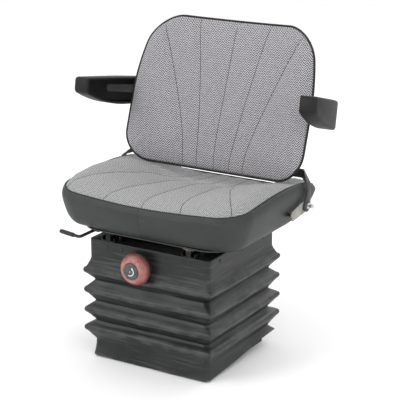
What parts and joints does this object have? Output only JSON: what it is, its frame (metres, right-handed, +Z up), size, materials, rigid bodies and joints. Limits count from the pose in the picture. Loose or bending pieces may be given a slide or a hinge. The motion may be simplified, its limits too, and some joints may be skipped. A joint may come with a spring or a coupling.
{
  "type": "tractor seat",
  "caption": "Tractor seat with fanned-seam cushions, folding armrests, reclining back, slide rails and a bellows-covered scissor suspension with weight knob.",
  "frame": {"origin": "on the floor under the middle of the suspension base", "axes": "+Z up, -Y the way the sitter faces, +X to the sitter's left; metres, at rest with the suspension fully up"},
  "size_m": [0.676, 0.5139, 0.804],
  "materials": {
    "frame_steel": "satin black",
    "track_steel": "satin black",
    "bright_steel": "bright zinc",
    "damper_black": "gloss black",
    "collar_plastic": "matt black",
    "bellows_rubber": "matt, dark grey with a green tinge",
    "rail_zinc": "dull zinc",
    "spring_steel": "satin black",
    "arm_steel": "satin black",
    "roller_plastic": "natural white, semi-matt",
    "knob_red": "worn faded red",
    "knob_black": "matt black with a white turn arrow",
    "pan_steel": "satin black",
    "seat_fabric": "woven mid grey with dark seams",
    "seat_vinyl": "matt grained dark grey vinyl",
    "recliner_zinc": "bright zinc",
    "shell_plastic": "grained matt black",
    "armrest_plastic": "fine-grained satin black",
    "lever_black": "satin black"
  },
  "bodies": {
    "base": {"base_plate": "frame_steel", "lower_track_left": "track_steel", "lower_track_right": "track_steel", "lower_pivot_shaft": "bright_steel", "damper_tube": "damper_black"},
    "top_frame": {"top_frame": "frame_steel", "upper_track_left": "track_steel", "upper_track_right": "track_steel", "upper_pivot_shaft": "bright_steel", "damper_rod": "bright_steel", "knob_collar": "collar_plastic", "bellows": "bellows_rubber", "fixed_rail_left": "rail_zinc", "fixed_rail_right": "rail_zinc", "tension_spring_left": "spring_steel", "tension_spring_right": "spring_steel"},
    "outer_arms": {"outer_arm_left": "arm_steel", "outer_arm_right": "arm_steel", "outer_arm_cross_tube": "arm_steel", "centre_pin_left": "bright_steel", "centre_pin_right": "bright_steel", "upper_axle": "bright_steel"},
    "inner_arms": {"inner_arm_left": "arm_steel", "inner_arm_right": "arm_steel", "inner_arm_cross_tube": "arm_steel", "lower_axle": "bright_steel"},
    "upper_rollers": {"upper_roller_left": "roller_plastic", "upper_roller_right": "roller_plastic"},
    "lower_rollers": {"lower_roller_left": "roller_plastic", "lower_roller_right": "roller_plastic"},
    "weight_knob": {"knob_grip": "knob_red", "knob_cap": "knob_black", "adjusting_spindle": "bright_steel"},
    "crosshead": {"spring_crosshead": "arm_steel"},
    "carriage": {"moving_rail_left": "rail_zinc", "moving_rail_right": "rail_zinc", "seat_pan": "pan_steel", "seat_cushion": "seat_fabric", "cushion_band": "seat_vinyl", "recliner_bracket_left": "recliner_zinc", "recliner_bracket_right": "recliner_zinc", "recline_bolt_left": "bright_steel", "recline_bolt_right": "bright_steel"},
    "backrest": {"backrest_cushion": "seat_fabric", "backrest_piping": "seat_vinyl", "backrest_shell": "shell_plastic", "hinge_arm_left": "arm_steel", "hinge_arm_right": "recliner_zinc", "armrest_bracket_left": "arm_steel", "armrest_bracket_right": "arm_steel", "armrest_bolt_left": "bright_steel", "armrest_bolt_right": "bright_steel"},
    "recline_lever": {"recline_lever": "recliner_zinc"},
    "armrest_left": {"armrest_pad_left": "armrest_plastic", "armrest_bar_left": "arm_steel"},
    "armrest_right": {"armrest_pad_right": "armrest_plastic", "armrest_bar_right": "arm_steel"},
    "slide_lever": {"slide_lever": "lever_black"}
  },
  "joints": [
    {"name": "suspension_travel", "type": "slide", "parent": "base", "child": "top_frame", "axis": [0, 0, 1], "range_m": [-0.06, 0], "stiffness_N_per_m": 11000, "springref_m": 0.045, "deforming": ["bellows", "tension_spring_left", "tension_spring_right"]},
    {"name": "outer_arms_swing", "type": "hinge", "parent": "base", "child": "outer_arms", "pos_m": [0, 0.125, 0.0213], "axis": [1, 0, 0], "range_deg": [-1, 17.5]},
    {"name": "inner_arms_swing", "type": "hinge", "parent": "outer_arms", "child": "inner_arms", "pos_m": [0, 0.0356, 0.154], "axis": [1, 0, 0], "range_deg": [-34, 1]},
    {"name": "upper_rollers_turn", "type": "hinge", "parent": "outer_arms", "child": "upper_rollers", "pos_m": [0, -0.0538, 0.2867], "axis": [1, 0, 0], "range_deg": [-330, 10]},
    {"name": "lower_rollers_turn", "type": "hinge", "parent": "inner_arms", "child": "lower_rollers", "pos_m": [0, -0.0538, 0.0213], "axis": [1, 0, 0], "range_deg": [-10, 330]},
    {"name": "weight_knob_turn", "type": "hinge", "parent": "top_frame", "child": "weight_knob", "pos_m": [-0.02, -0.155, 0.265], "axis": [0, 1, 0], "range_deg": [0, 1800]},
    {"name": "crosshead_travel", "type": "slide", "parent": "top_frame", "child": "crosshead", "axis": [0, 1, 0], "range_m": [0, 0.0205]},
    {"name": "fore_aft", "type": "slide", "parent": "top_frame", "child": "carriage", "axis": [0, 1, 0], "range_m": [-0.075, 0.075]},
    {"name": "recline", "type": "hinge", "parent": "carriage", "child": "backrest", "pos_m": [0, 0.138, 0.387], "axis": [1, 0, 0], "range_deg": [-15, 4]},
    {"name": "recline_lever_lift", "type": "hinge", "parent": "carriage", "child": "recline_lever", "pos_m": [-0.2695, 0.073, 0.3813], "axis": [1, 0, 0], "range_deg": [-18, 0], "stiffness_Nm_per_rad": 1.5, "springref_deg": 6.88},
    {"name": "slide_lever_lift", "type": "hinge", "parent": "carriage", "child": "slide_lever", "pos_m": [-0.173, -0.075, 0.324], "axis": [0, 1, 0], "range_deg": [0, 12], "stiffness_Nm_per_rad": 2, "springref_deg": -6.88},
    {"name": "armrest_left_fold", "type": "hinge", "parent": "backrest", "child": "armrest_left", "pos_m": [0.272, 0.2403, 0.5973], "axis": [1, 0, 0], "range_deg": [-75, 0]},
    {"name": "armrest_right_fold", "type": "hinge", "parent": "backrest", "child": "armrest_right", "pos_m": [-0.272, 0.2403, 0.5973], "axis": [1, 0, 0], "range_deg": [-75, 0]}
  ],
  "couplings": [
    {"joint": "outer_arms_swing", "follows": "suspension_travel", "rad_per_m": -4.797},
    {"joint": "inner_arms_swing", "follows": "suspension_travel", "rad_per_m": 9.594},
    {"joint": "upper_rollers_turn", "follows": "suspension_travel", "rad_per_m": 91.8},
    {"joint": "lower_rollers_turn", "follows": "suspension_travel", "rad_per_m": -91.8},
    {"joint": "crosshead_travel", "follows": "weight_knob_turn", "m_per_rad": 0.00063662}
  ]
}
